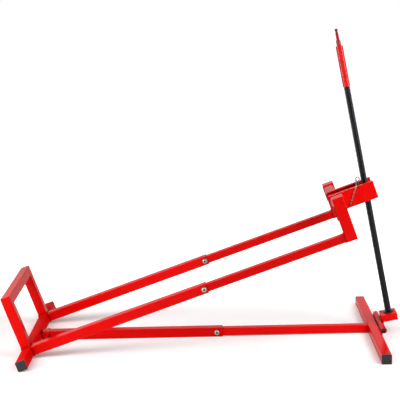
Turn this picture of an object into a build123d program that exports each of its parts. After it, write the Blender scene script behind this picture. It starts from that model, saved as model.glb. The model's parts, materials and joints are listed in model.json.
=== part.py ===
"""Screw-driven lift jack for lawn mowers: a floor base, a hinged lift frame and a raking spindle."""

import os
from math import cos, radians, sin, sqrt

from build123d import *

os.makedirs("parts", exist_ok=True)

# Square steel tube: the outer size makes beams and sleeves, the inner size slides inside it.
outer_side = 30.0
inner_side = 25.0
tube_wall = 2.0
tube_corner = 3.0

# Plan of the jack. Lengths along X are counted from the axis of the rear cross beam.
rear_x = -538.0
beam_length = 600.0
front_beam_x = 1072.0
base_sleeve_end = 595.0
base_bolt_x = 576.0
sleeve_overlap = 140.0
arm_spread = 168.0

# Lift frame at rest, measured along the arms (u) and square to them (v).
rest_angle = 19.12
arm_sleeve_end = 583.0
arm_bolt_u = 573.0
stop_height = 185.0
fork_u = 1021.0
fork_side = 35.0
fork_wall = 2.5
fork_corner = 4.0
fork_bottom = -12.5
fork_top_left = 102.0
fork_top_right = 126.0
fork_plate = 3.0
cross_tube_depth = 30.0
cross_tube_height = 50.0

# Spindle channel on the lift frame: a lipped section with its mouth upwards.
channel_length = 143.0
channel_width = 80.0
channel_base = 49.0
channel_top = 104.5
channel_wall = 3.0
channel_corner = 4.5
channel_lip = 15.0
floor_slot_length = 40.0
floor_slot_width = 24.0
floor_slot_offset = 22.0

# Rear hinge between base and lift frame.
rear_pivot_x = 36.0
rear_pivot_z = 23.0
rear_pin_dia = 8.0
lug_inner = 15.5
lug_thick = 5.0
lug_radius = 7.0
lug_drop = 13.0
mitre_back = 14.3

# Front hinge between base and spindle foot.
front_pivot_x = 1096.0
front_pivot_z = 33.0
front_pin_dia = 10.0
eye_radius = 9.0
knuckle_radius = 8.6
knuckle_half = 27.0
knuckle_gap = 1.5
hinge_half = 88.0
leaf_thick = 5.0
leaf_bottom = 5.0
leaf_top = 22.0

# Spindle, measured from the front hinge square to the spindle (n) and up along it (d).
spindle_lean = 10.5
spindle_offset = 32.7
spindle_dia = 18.0
journal_dia = 14.0
journal_end = 9.0
spindle_top = 822.0
sleeve_bottom = 760.0
sleeve_top = 885.0
sleeve_dia = 22.0
collar_top = 903.0
collar_dia = 14.0
shank_top = 938.0
shank_flats = 8.0
groove_height = 927.0
groove_width = 3.0
sleeve_pin_d = 792.0
sleeve_pin_dia = 5.0

# Spindle foot.
block_start = 5.6
block_end = 56.0
block_bottom = 6.0
block_top = 28.0
block_wall = 4.0
block_roof = 5.0
washer_dia = 30.0
washer_height = 3.0
bush_dia = 20.0
bush_flange = 1.5
retainer_dia = 24.0
retainer_height = 7.0
retainer_pin_dia = 3.0

# Nut carriage and its pivot pin.
pivot_height = 78.0
pivot_offset = 29.0
pivot_dia = 10.0
carriage_left = 42.0
carriage_right = 18.0
carriage_half = 19.0
carriage_low = 15.0
carriage_high = 12.0
nut_dia = 22.0
pin_swing = 6.8
pin_drop = 5.4

# Fasteners, clip, chain and plugs.
bolt_dia = 8.0
bolt_head_dia = 14.0
bolt_head = 4.6
bolt_dome = 4.0
bolt_socket = 6.0
bolt_socket_depth = 2.8
nut_flats = 13.0
nut_height = 8.0
flat_washer_dia = 17.0
flat_washer = 1.6
clip_wire = 2.8
clip_y = -21.5
clip_lean = 15.0
clip_leg = 41.0
link_wire = 0.8
link_inside = 6.6
link_width = 2.4
link_pitch = 6.2
link_count = 14
chain_ring = 8.0
chain_gap = 4.0
staple_wire = 1.6
staple_radius = 2.6
plug_flange = 5.0
plug_depth = 16.0
plug_wall = 2.0

# Fits and gaps.
running_fit = 0.05
seat_gap = 0.1
play = 0.3

tube_end = beam_length / 2 - plug_flange
tube_half = outer_side / 2
fork_mid = fork_u + fork_side / 2
fork_inner_y = arm_spread - fork_side / 2
fork_tops = {1: fork_top_left, -1: fork_top_right}
rear_axis_z = (tube_half - tube_corner) * (
    sin(radians(rest_angle)) + cos(radians(rest_angle))
) + tube_corner

base_frame = (rear_x, 0.0, 0.0)
lift_frame = (rear_x, rear_axis_z, rest_angle)
foot_frame = (rear_x + front_pivot_x, front_pivot_z, spindle_lean)


def place(frame, along, across, up):
    """Point of a frame as model coordinates."""
    x, z, angle = frame
    c = cos(radians(angle))
    s = sin(radians(angle))
    return Vector(x + along * c - up * s, across, z + along * s + up * c)


def locate(frame, point):
    """Distances of a model point along and up from a frame."""
    x, z, angle = frame
    c = cos(radians(angle))
    s = sin(radians(angle))
    return (point.X - x) * c + (point.Z - z) * s, (point.Z - z) * c - (point.X - x) * s


def plane_in(frame, along, across, up, facing):
    """Plane at a point of a frame that faces along it, up from it or out to its right side."""
    c = cos(radians(frame[2]))
    s = sin(radians(frame[2]))
    origin = place(frame, along, across, up)
    if facing == "along":
        return Plane(origin, x_dir=(0, 1, 0), z_dir=(c, 0, s))
    if facing == "up":
        return Plane(origin, x_dir=(c, 0, s), z_dir=(-s, 0, c))
    return Plane(origin, x_dir=(c, 0, s), z_dir=(0, -1, 0))


def tube_section(width, height, wall, corner):
    """Rounded hollow section in the open sketch."""
    RectangleRounded(width, height, corner)
    RectangleRounded(width - 2 * wall, height - 2 * wall, corner - wall, mode=Mode.SUBTRACT)


def end_plugs(frame, along, up):
    """Plastic plugs that close both ends of a cross beam."""
    with BuildPart() as plugs:
        for side in (1, -1):
            mouth = plane_in(frame, along, side * tube_end, up, "side")
            with BuildSketch(mouth):
                RectangleRounded(outer_side, outer_side, tube_corner)
            extrude(amount=-side * plug_flange)
            bore = outer_side - 2 * tube_wall - 2 * seat_gap
            with BuildSketch(mouth):
                tube_section(bore, bore, plug_wall, tube_corner)
            extrude(amount=side * plug_depth)
        for rim in (plugs.faces().sort_by(Axis.Y)[0], plugs.faces().sort_by(Axis.Y)[-1]):
            fillet(rim.edges(), 1.0)
    return plugs


def socket_bolts(faces):
    """Domed bolts with a hexagon socket, whose heads sit on washers on the given tube faces."""
    seats = [face.offset(flat_washer) for face in faces]
    with BuildPart() as bolts:
        with BuildSketch(*seats):
            Circle(bolt_head_dia / 2)
        extrude(amount=bolt_head)
        rims = bolts.edges().filter_by(GeomType.CIRCLE).group_by(Axis.Y)
        fillet([rims[2 * index] for index in range(len(seats))], bolt_dome)
        with BuildSketch(*[seat.offset(bolt_head - bolt_socket_depth) for seat in seats]):
            RegularPolygon(bolt_socket / 2, 6, major_radius=False)
        extrude(amount=2 * bolt_socket_depth, mode=Mode.SUBTRACT)
        with BuildSketch(*seats):
            Circle(bolt_dia / 2)
        extrude(amount=-(outer_side + 2 * flat_washer + nut_height + 2.0))
    return bolts


def flat_washers(faces):
    """Washers on the given tube faces and on the faces behind them."""
    with BuildPart() as washers:
        with BuildSketch(*faces, *[face.offset(-outer_side - flat_washer) for face in faces]):
            Circle(flat_washer_dia / 2)
            Circle(bolt_dia / 2 + play, mode=Mode.SUBTRACT)
        extrude(amount=flat_washer)
    return washers


def lock_nuts(faces):
    """Lock nuts on the washers behind the given tube faces, each with a round crown."""
    seats = [face.offset(-outer_side - flat_washer) for face in faces]
    with BuildPart() as nuts:
        with BuildSketch(*seats):
            RegularPolygon(nut_flats / 2, 6, major_radius=False)
            Circle(bolt_dia / 2 + running_fit, mode=Mode.SUBTRACT)
        extrude(amount=-(nut_height - 2.0))
        with BuildSketch(*[seat.offset(2.0 - nut_height) for seat in seats]):
            Circle(nut_flats / 2 - 0.6)
            Circle(bolt_dia / 2 + running_fit, mode=Mode.SUBTRACT)
        extrude(amount=-2.0)
    return nuts


def headed_pin(frame, along, up, dia, near, far, head_dia, head, side):
    """Round pin across the jack with a low head on its left (1) or right (-1) end."""
    with BuildPart() as pin:
        with BuildSketch(plane_in(frame, along, far, up, "side")):
            Circle(dia / 2)
        extrude(amount=near + far)
        with BuildSketch(plane_in(frame, along, far if side > 0 else -near, up, "side")):
            Circle(head_dia / 2)
        extrude(amount=-side * head)
        ends = pin.faces().sort_by(Axis.Y)
        chamfer((ends[0].edges(), ends[-1].edges()), 0.8)
    return pin


def retaining_ring(frame, along, up, dia, start, ring_dia):
    """Pressed ring that keeps the left end of a hinge pin."""
    with BuildPart() as ring:
        with BuildSketch(plane_in(frame, along, start, up, "side")):
            Circle(ring_dia / 2)
            Circle(dia / 2 + running_fit, mode=Mode.SUBTRACT)
        extrude(amount=-2.0)
    return ring


def cross_beam(frame, along, up):
    """Square tube that lies across the jack."""
    with BuildPart() as beam:
        with BuildSketch(plane_in(frame, along, tube_end, up, "side")):
            tube_section(outer_side, outer_side, tube_wall, tube_corner)
        extrude(amount=2 * tube_end)
    return beam


# Points shared between the bodies.
rear_u, rear_v = locate(lift_frame, place(base_frame, rear_pivot_x, 0, rear_pivot_z))
pivot_root = locate(lift_frame, place(foot_frame, spindle_offset - pivot_offset, 0, 0))[1]
pivot_d = (pivot_height - pivot_root) / cos(radians(rest_angle - spindle_lean))
pivot_point = place(foot_frame, spindle_offset - pivot_offset, 0, pivot_d)
pivot_u = locate(lift_frame, pivot_point)[0]
rear_pivot_side = plane_in(base_frame, rear_pivot_x, 0, rear_pivot_z, "side")
pivot_side = plane_in(lift_frame, pivot_u, 0, pivot_height, "side")
base_bolt_faces = [plane_in(base_frame, base_bolt_x, -tube_half, tube_half, "side")]
arm_bolt_faces = [
    plane_in(lift_frame, arm_bolt_u, side * arm_spread - tube_half, 0, "side") for side in (1, -1)
]

# Base: front foot beam, telescoping base bar and the fixed halves of both hinges.
front_foot_beam = cross_beam(base_frame, front_beam_x, tube_half)
front_beam_plugs = end_plugs(base_frame, front_beam_x, tube_half)

with BuildPart() as base_outer_tube:
    with BuildSketch(plane_in(base_frame, 0, 0, tube_half, "along")):
        tube_section(outer_side, outer_side, tube_wall, tube_corner)
    extrude(amount=base_sleeve_end)
    split(bisect_by=plane_in(lift_frame, rear_u - mitre_back, 0, 0, "along"), keep=Keep.TOP)
    with BuildSketch(rear_pivot_side):
        Circle(rear_pin_dia / 2 + running_fit)
    extrude(amount=outer_side, both=True, mode=Mode.SUBTRACT)
    with BuildSketch(*base_bolt_faces):
        Circle(bolt_dia / 2 + play)
    extrude(amount=-outer_side, mode=Mode.SUBTRACT)

with BuildPart() as base_inner_tube:
    with BuildSketch(plane_in(base_frame, base_sleeve_end - sleeve_overlap, 0, tube_half, "along")):
        tube_section(inner_side, inner_side, tube_wall, tube_corner)
    extrude(amount=front_beam_x - tube_half - base_sleeve_end + sleeve_overlap)
    with BuildSketch(*base_bolt_faces):
        Circle(bolt_dia / 2 + play)
    extrude(amount=-outer_side, mode=Mode.SUBTRACT)

base_joint_bolt = socket_bolts(base_bolt_faces)
base_joint_washers = flat_washers(base_bolt_faces)
base_joint_nut = lock_nuts(base_bolt_faces)

with BuildPart() as front_hinge_leaf:
    beam_face = front_beam_x + tube_half
    with BuildSketch(plane_in(base_frame, beam_face, 0, (leaf_bottom + leaf_top) / 2, "along")):
        Rectangle(2 * hinge_half, leaf_top - leaf_bottom)
    extrude(amount=leaf_thick)
    for eye_start in (hinge_half, -knuckle_half - knuckle_gap):
        with BuildSketch(plane_in(base_frame, front_pivot_x, eye_start, front_pivot_z, "side")):
            Circle(eye_radius)
            with Locations(((leaf_thick / 2 - eye_radius), (leaf_top - front_pivot_z) / 2)):
                Rectangle(leaf_thick, front_pivot_z - leaf_top)
            Circle(front_pin_dia / 2 + running_fit, mode=Mode.SUBTRACT)
        extrude(amount=hinge_half - knuckle_half - knuckle_gap)

front_hinge_pin = headed_pin(
    base_frame, front_pivot_x, front_pivot_z, front_pin_dia, hinge_half, hinge_half + 3.5, 14.0, 2.5, -1
)
front_hinge_ring = retaining_ring(
    base_frame, front_pivot_x, front_pivot_z, front_pin_dia, hinge_half, 15.0
)
lug_outer = lug_inner + lug_thick
rear_hinge_pin = headed_pin(
    base_frame, rear_pivot_x, rear_pivot_z, rear_pin_dia, lug_outer + seat_gap, lug_outer + 3.5, 12.0, 2.0, -1
)
rear_hinge_ring = retaining_ring(
    base_frame, rear_pivot_x, rear_pivot_z, rear_pin_dia, lug_outer + seat_gap, 13.0
)

# Lift frame: rear beam, stop frame, telescoping arms, forks and the spindle channel.
rear_cross_beam = cross_beam(lift_frame, 0, 0)
rear_beam_plugs = end_plugs(lift_frame, 0, 0)

with BuildPart() as rear_hinge_lugs:
    for lug_start in (lug_outer, -lug_inner):
        with BuildSketch(plane_in(lift_frame, rear_u, lug_start, rear_v, "side")):
            Circle(lug_radius)
            with Locations(((tube_half - rear_u) / 2, (lug_radius - lug_drop) / 2)):
                Rectangle(rear_u - tube_half, lug_radius + lug_drop)
            Circle(rear_pin_dia / 2 + running_fit, mode=Mode.SUBTRACT)
        extrude(amount=lug_thick)


def stop_post(side):
    """Upright of the stop frame, mitred at its top."""
    with BuildPart() as post:
        with BuildSketch(plane_in(lift_frame, 0, side * arm_spread, tube_half, "up")):
            tube_section(outer_side, outer_side, tube_wall, tube_corner)
        extrude(amount=stop_height - tube_half)
        with BuildSketch(plane_in(lift_frame, 0, side * arm_spread, stop_height, "along")):
            with BuildLine():
                Polyline(
                    (side * tube_half, 0),
                    (-side * tube_half, -outer_side),
                    (-side * tube_half, 0),
                    close=True,
                )
            make_face()
        extrude(amount=outer_side, both=True, mode=Mode.SUBTRACT)
    return post


stop_post_left = stop_post(1)
stop_post_right = stop_post(-1)

with BuildPart() as stop_top_rail:
    rail_end = arm_spread + tube_half
    with BuildSketch(plane_in(lift_frame, 0, rail_end, stop_height - tube_half, "side")):
        tube_section(outer_side, outer_side, tube_wall, tube_corner)
    extrude(amount=2 * rail_end)
    with BuildSketch(plane_in(lift_frame, 0, 0, stop_height - outer_side, "along")):
        for side in (1, -1):
            with BuildLine():
                Polyline(
                    (side * rail_end, outer_side),
                    (side * rail_end, 0),
                    (side * (rail_end - outer_side), 0),
                    close=True,
                )
            make_face()
    extrude(amount=outer_side, both=True, mode=Mode.SUBTRACT)


def arm_tube(side, start, end, width):
    """One tube of an arm with its bolt hole."""
    with BuildPart() as tube:
        with BuildSketch(plane_in(lift_frame, start, side * arm_spread, 0, "along")):
            tube_section(width, width, tube_wall, tube_corner)
        extrude(amount=end - start)
        with BuildSketch(plane_in(lift_frame, arm_bolt_u, side * arm_spread, 0, "side")):
            Circle(bolt_dia / 2 + play)
        extrude(amount=outer_side, both=True, mode=Mode.SUBTRACT)
    return tube


arm_outer_left = arm_tube(1, tube_half, arm_sleeve_end, outer_side)
arm_outer_right = arm_tube(-1, tube_half, arm_sleeve_end, outer_side)
arm_inner_left = arm_tube(1, arm_sleeve_end - sleeve_overlap, fork_u, inner_side)
arm_inner_right = arm_tube(-1, arm_sleeve_end - sleeve_overlap, fork_u, inner_side)
arm_joint_bolts = socket_bolts(arm_bolt_faces)
arm_joint_washers = flat_washers(arm_bolt_faces)
arm_joint_nuts = lock_nuts(arm_bolt_faces)


def fork_post(side):
    """Upright tube at the end of an arm."""
    with BuildPart() as post:
        with BuildSketch(plane_in(lift_frame, fork_mid, side * arm_spread, fork_bottom + fork_plate, "up")):
            tube_section(fork_side, fork_side, fork_wall, fork_corner)
        extrude(amount=fork_tops[side] - fork_bottom - 2 * fork_plate)
    return post


fork_post_left = fork_post(1)
fork_post_right = fork_post(-1)

with BuildPart() as fork_post_plates:
    with BuildSketch(
        *[
            plane_in(lift_frame, fork_mid, side * arm_spread, level, "up")
            for side in (1, -1)
            for level in (fork_bottom, fork_tops[side] - fork_plate)
        ]
    ):
        RectangleRounded(fork_side, fork_side, fork_corner)
    extrude(amount=fork_plate)


def fork_cross_tube(start):
    """Rectangular tube from a fork post to the channel wall."""
    middle = channel_base + cross_tube_height / 2
    with BuildPart() as tube:
        with BuildSketch(plane_in(lift_frame, fork_u + cross_tube_depth / 2, start, middle, "side")):
            tube_section(cross_tube_depth, cross_tube_height, fork_wall, fork_corner)
        extrude(amount=fork_inner_y - channel_width / 2)
    return tube


fork_cross_tube_left = fork_cross_tube(fork_inner_y)
fork_cross_tube_right = fork_cross_tube(-channel_width / 2)

with BuildPart() as spindle_channel:
    depth = channel_top - channel_base
    with BuildSketch(plane_in(lift_frame, fork_u, 0, channel_base, "along")):
        with Locations((0, depth / 2)):
            tube_section(channel_width, depth, channel_wall, channel_corner)
        with Locations((0, depth)):
            Rectangle(channel_width - 2 * channel_lip, 4 * channel_wall, mode=Mode.SUBTRACT)
    extrude(amount=channel_length)
    with BuildSketch(plane_in(lift_frame, pivot_u + floor_slot_offset, 0, channel_base, "up")):
        SlotOverall(floor_slot_length, floor_slot_width)
    extrude(amount=2 * channel_wall, both=True, mode=Mode.SUBTRACT)
    with BuildSketch(pivot_side):
        Circle(pivot_dia / 2 + running_fit)
    extrude(amount=channel_width, both=True, mode=Mode.SUBTRACT)

clip_turn = radians(rest_angle - clip_lean)
clip_plane = Plane(
    place(lift_frame, pivot_u, clip_y, pivot_height),
    x_dir=(cos(clip_turn), 0, sin(clip_turn)),
    z_dir=(0, -1, 0),
)

with BuildPart() as nut_pivot_pin:
    pin_end = channel_width / 2
    add(headed_pin(lift_frame, pivot_u, pivot_height, pivot_dia, pin_end, pin_end, 15.0, 3.0, 1).part)
    with BuildSketch(Plane(clip_plane.origin, x_dir=(0, 1, 0), z_dir=clip_plane.y_dir)):
        Circle(clip_wire / 2 + running_fit)
    extrude(amount=pivot_dia, both=True, mode=Mode.SUBTRACT)

with BuildPart() as retaining_clip:
    with BuildLine(clip_plane):
        leg = Line((0, -13), (0, clip_leg))
        neck = JernArc(leg @ 1, leg % 1, 4.0, 45)
        ring = JernArc(neck @ 1, neck % 1, 5.5, -270)
        throat = JernArc(ring @ 1, ring % 1, 4.0, 45)
        spring = Line(throat @ 1, throat @ 1 + (throat % 1) * (clip_leg - 8.4))
        flare = JernArc(spring @ 1, spring % 1, 12.0, 25)
        bow = JernArc(flare @ 1, flare % 1, 8.5, -50)
        tail = JernArc(bow @ 1, bow % 1, 12.0, 60)
        Line(tail @ 1, tail @ 1 + (tail % 1) * 3.0)
    with BuildSketch(Plane(leg @ 0, z_dir=leg % 0)):
        Circle(clip_wire / 2)
    sweep()

# Safety chain: a ring through the clip, then links over the channel wall down to a staple.
chain_y = -channel_width / 2 - chain_gap
hook = ring @ 0.04
hook_along = ring % 0.04
over_wall = place(lift_frame, pivot_u + 3.0, chain_y, channel_top + 4.0)
chain_foot = place(lift_frame, fork_u + fork_side + 14.0, chain_y, channel_base + 2.0)
ring_reach = over_wall - hook
ring_reach = (ring_reach - hook_along * ring_reach.dot(hook_along)).normalized()
ring_centre = hook + ring_reach * (chain_ring / 2 - clip_wire / 2 - play)
ring_edge = ring_centre + ring_reach * ((chain_ring + link_wire) / 2)
to_wall = (over_wall - ring_edge).normalized()
down_wall = (chain_foot - over_wall).normalized()
bend_axis = to_wall.cross(down_wall).normalized()
link_length = link_inside + link_wire
link_lap = (link_length - link_pitch) / 2
chain_joints = [ring_edge - to_wall * (link_wire + play - link_lap)]
for _ in range(link_count):
    joint = chain_joints[-1]
    left = over_wall - joint
    if left.dot(to_wall) > link_pitch:
        chain_joints.append(joint + to_wall * link_pitch)
    else:
        rise = left.dot(down_wall)
        drop = sqrt(rise**2 + link_pitch**2 - left.length**2) - rise
        chain_joints.append(over_wall + down_wall * drop)

with BuildPart() as safety_chain:
    with BuildLine(Plane(ring_centre, x_dir=ring_reach, z_dir=hook_along)):
        loop = CenterArc((0, 0), (chain_ring + link_wire) / 2, 0, 360)
    with BuildSketch(Plane(loop @ 0, z_dir=loop % 0)):
        Circle(link_wire / 2)
    sweep()
    bend = (link_width + link_wire) / 2
    reach = link_length / 2 - bend
    for index in range(link_count):
        joint = chain_joints[index]
        next_joint = chain_joints[index + 1]
        direction = (next_joint - joint).normalized()
        upright = direction.cross(bend_axis) if index else hook_along.cross(ring_reach)
        normal = bend_axis if index % 2 else upright
        with BuildLine(Plane((joint + next_joint) / 2, x_dir=direction, z_dir=normal)):
            lower = Line((-reach, -bend), (reach, -bend))
            ThreePointArc((reach, -bend), (reach + bend, 0), (reach, bend))
            Line((reach, bend), (-reach, bend))
            ThreePointArc((-reach, bend), (-reach - bend, 0), (-reach, -bend))
        with BuildSketch(Plane(lower @ 0, z_dir=lower % 0)):
            Circle(link_wire / 2)
        sweep()

with BuildPart() as chain_staple:
    crown = chain_joints[-1] + down_wall * (link_lap - link_wire / 2 - staple_wire / 2 - play)
    with BuildLine(Plane(crown, x_dir=(0, 1, 0), z_dir=down_wall)):
        inner_leg = Line((chain_gap, -staple_radius), (staple_radius, -staple_radius))
        ThreePointArc((staple_radius, -staple_radius), (0, 0), (staple_radius, staple_radius))
        Line((staple_radius, staple_radius), (chain_gap, staple_radius))
    with BuildSketch(Plane(inner_leg @ 0, z_dir=inner_leg % 0)):
        Circle(staple_wire / 2)
    sweep()

# Spindle foot: a hollow block whose back wall reaches down beside the front hinge's middle knuckle.
with BuildPart() as foot_knuckle:
    with BuildSketch(plane_in(foot_frame, 0, knuckle_half, 0, "side")):
        Circle(knuckle_radius)
        Circle(front_pin_dia / 2 + running_fit, mode=Mode.SUBTRACT)
    extrude(amount=2 * knuckle_half)

with BuildPart() as foot_block:
    with BuildSketch(plane_in(foot_frame, (block_start + block_end) / 2, 0, block_bottom, "up")):
        RectangleRounded(block_end - block_start, 2 * knuckle_half, 3.0)
    extrude(amount=block_top - block_bottom)
    hollow_start = knuckle_radius + 1.4
    hollow_end = block_end - block_wall
    with BuildSketch(plane_in(foot_frame, (hollow_start + hollow_end) / 2, 0, block_bottom, "up")):
        RectangleRounded(hollow_end - hollow_start, 2 * (knuckle_half - block_wall), 2.0)
    extrude(amount=block_top - block_roof - block_bottom, mode=Mode.SUBTRACT)
    with BuildSketch(plane_in(foot_frame, spindle_offset, 0, block_top, "up")):
        Circle(bush_dia / 2)
    extrude(amount=-2 * block_roof, mode=Mode.SUBTRACT)
    with BuildSketch(plane_in(foot_frame, (block_start + hollow_start) / 2, 0, block_bottom, "up")):
        Rectangle(hollow_start - block_start, 2 * knuckle_half)
    extrude(amount=-block_bottom)
    with BuildSketch(plane_in(foot_frame, 0, 0, 0, "side")):
        Circle(knuckle_radius)
    extrude(amount=2 * knuckle_half, both=True, mode=Mode.SUBTRACT)

with BuildPart() as spindle_bush:
    with BuildSketch(plane_in(foot_frame, spindle_offset, 0, block_top, "up")):
        Circle(bush_dia / 2)
        Circle(journal_dia / 2 + running_fit, mode=Mode.SUBTRACT)
    extrude(amount=-block_roof)
    with BuildSketch(plane_in(foot_frame, spindle_offset, 0, block_top - block_roof, "up")):
        Circle(bush_dia / 2 + 3.0)
        Circle(journal_dia / 2 + running_fit, mode=Mode.SUBTRACT)
    extrude(amount=-bush_flange)

with BuildPart() as thrust_washer:
    with BuildSketch(plane_in(foot_frame, spindle_offset, 0, block_top, "up")):
        Circle(washer_dia / 2)
        Circle(journal_dia / 2 + play, mode=Mode.SUBTRACT)
    extrude(amount=washer_height)

# Spindle: a long screw with a journal in the foot and a drive shank on its top.
spindle_shoulder = block_top + washer_height + seat_gap
retainer_top = block_top - block_roof - bush_flange - seat_gap
retainer_pin_d = retainer_top - retainer_height / 2


def spindle_plane(level, facing="up"):
    """Plane on the spindle axis at a height along the spindle."""
    return plane_in(foot_frame, spindle_offset, 0, level, facing)


with BuildPart() as spindle:
    with BuildSketch(spindle_plane(spindle_shoulder)):
        Circle(spindle_dia / 2)
    extrude(amount=spindle_top - spindle_shoulder)
    with BuildSketch(spindle_plane(journal_end)):
        Circle(journal_dia / 2)
    extrude(amount=spindle_shoulder - journal_end)
    for level, dia in ((sleeve_pin_d, sleeve_pin_dia), (retainer_pin_d, retainer_pin_dia)):
        with BuildSketch(spindle_plane(level, "side")):
            Circle(dia / 2)
        extrude(amount=sleeve_dia, both=True, mode=Mode.SUBTRACT)

with BuildPart() as spindle_retainer:
    with BuildSketch(spindle_plane(retainer_top)):
        Circle(retainer_dia / 2)
        Circle(journal_dia / 2, mode=Mode.SUBTRACT)
    extrude(amount=-retainer_height)
    with BuildSketch(spindle_plane(retainer_pin_d, "side")):
        Circle(retainer_pin_dia / 2)
    extrude(amount=retainer_dia, both=True, mode=Mode.SUBTRACT)

with BuildPart() as drive_sleeve:
    with BuildSketch(spindle_plane(sleeve_bottom)):
        Circle(sleeve_dia / 2)
        Circle(spindle_dia / 2, mode=Mode.SUBTRACT)
    extrude(amount=sleeve_top - sleeve_bottom)
    with BuildSketch(spindle_plane(sleeve_pin_d, "side")):
        Circle(sleeve_pin_dia / 2)
    extrude(amount=sleeve_dia, both=True, mode=Mode.SUBTRACT)


def cross_pin(level, dia, length):
    """Plain pin through the spindle axis."""
    with BuildPart() as pin:
        with BuildSketch(spindle_plane(level, "side")):
            Circle(dia / 2)
        extrude(amount=length / 2, both=True)
    return pin


retainer_pin = cross_pin(retainer_pin_d, retainer_pin_dia, retainer_dia - 1.0)
sleeve_pin = cross_pin(sleeve_pin_d, sleeve_pin_dia, sleeve_dia)

with BuildPart() as drive_shank:
    with BuildSketch(spindle_plane(sleeve_top)):
        Circle(spindle_dia / 2)
    extrude(amount=spindle_top + 2.0 - sleeve_top)
    with BuildSketch(spindle_plane(sleeve_top)):
        Circle(collar_dia / 2)
    extrude(amount=collar_top - sleeve_top)
    with BuildSketch(spindle_plane(collar_top)):
        RegularPolygon(shank_flats / 2, 6, major_radius=False)
    extrude(amount=shank_top - collar_top - 1.0)
    with BuildSketch(spindle_plane(shank_top - 1.0)):
        RegularPolygon(shank_flats / 2, 6, major_radius=False)
    extrude(amount=1.0, taper=30)
    with BuildSketch(spindle_plane(groove_height)):
        Circle(shank_flats)
        Circle(shank_flats / 2 - 0.8, mode=Mode.SUBTRACT)
    extrude(amount=groove_width, mode=Mode.SUBTRACT)

# Nut carriage: a block with a slot round the pivot pin, and the flanged nut pressed into it.
with BuildPart() as nut_carriage:
    middle = spindle_offset + (carriage_right - carriage_left) / 2
    with BuildSketch(plane_in(foot_frame, middle, 0, pivot_d - carriage_low, "up")):
        RectangleRounded(carriage_left + carriage_right, 2 * carriage_half, 4.0)
    extrude(amount=carriage_low + carriage_high)
    with BuildSketch(spindle_plane(pivot_d)):
        Circle(nut_dia / 2)
    extrude(amount=2 * carriage_low, both=True, mode=Mode.SUBTRACT)
    slot_centre = spindle_offset - pivot_offset + pin_swing / 2
    slot_room = pivot_dia + 2 * play
    with BuildSketch(plane_in(foot_frame, slot_centre, 0, pivot_d - pin_drop / 2, "side")):
        RectangleRounded(slot_room + pin_swing, slot_room + pin_drop, pivot_dia / 2)
    extrude(amount=2 * carriage_half, both=True, mode=Mode.SUBTRACT)

with BuildPart() as spindle_nut:
    with BuildSketch(spindle_plane(pivot_d - carriage_low)):
        Circle(nut_dia / 2)
        Circle(spindle_dia / 2 + running_fit, mode=Mode.SUBTRACT)
    extrude(amount=carriage_low + carriage_high)
    with BuildSketch(spindle_plane(pivot_d + carriage_high)):
        Circle(nut_dia / 2 + 3.0)
        Circle(spindle_dia / 2 + running_fit, mode=Mode.SUBTRACT)
    extrude(amount=2.5)

parts = {
    "front_foot_beam": front_foot_beam,
    "front_beam_plugs": front_beam_plugs,
    "base_outer_tube": base_outer_tube,
    "base_inner_tube": base_inner_tube,
    "base_joint_bolt": base_joint_bolt,
    "base_joint_washers": base_joint_washers,
    "base_joint_nut": base_joint_nut,
    "front_hinge_leaf": front_hinge_leaf,
    "front_hinge_pin": front_hinge_pin,
    "front_hinge_ring": front_hinge_ring,
    "rear_hinge_pin": rear_hinge_pin,
    "rear_hinge_ring": rear_hinge_ring,
    "rear_cross_beam": rear_cross_beam,
    "rear_beam_plugs": rear_beam_plugs,
    "rear_hinge_lugs": rear_hinge_lugs,
    "stop_post_left": stop_post_left,
    "stop_post_right": stop_post_right,
    "stop_top_rail": stop_top_rail,
    "arm_outer_left": arm_outer_left,
    "arm_outer_right": arm_outer_right,
    "arm_inner_left": arm_inner_left,
    "arm_inner_right": arm_inner_right,
    "arm_joint_bolts": arm_joint_bolts,
    "arm_joint_washers": arm_joint_washers,
    "arm_joint_nuts": arm_joint_nuts,
    "fork_post_left": fork_post_left,
    "fork_post_right": fork_post_right,
    "fork_post_plates": fork_post_plates,
    "fork_cross_tube_left": fork_cross_tube_left,
    "fork_cross_tube_right": fork_cross_tube_right,
    "spindle_channel": spindle_channel,
    "nut_pivot_pin": nut_pivot_pin,
    "retaining_clip": retaining_clip,
    "safety_chain": safety_chain,
    "chain_staple": chain_staple,
    "foot_knuckle": foot_knuckle,
    "foot_block": foot_block,
    "spindle_bush": spindle_bush,
    "thrust_washer": thrust_washer,
    "spindle": spindle,
    "spindle_retainer": spindle_retainer,
    "retainer_pin": retainer_pin,
    "drive_sleeve": drive_sleeve,
    "sleeve_pin": sleeve_pin,
    "drive_shank": drive_shank,
    "nut_carriage": nut_carriage,
    "spindle_nut": spindle_nut,
}
for label, built in parts.items():
    built.part.label = label
    export_step(built.part, f"parts/{label}.step")
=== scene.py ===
"""Looks of a screw-driven lift jack for lawn mowers: paint, plating, screw thread, welds and studio."""

import json
from math import floor, pi, radians, tan

import bpy
from bpy.props import FloatProperty, FloatVectorProperty, IntProperty, PointerProperty
from bpy.types import Operator, Panel, PropertyGroup
from mathutils import Matrix, Vector


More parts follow.
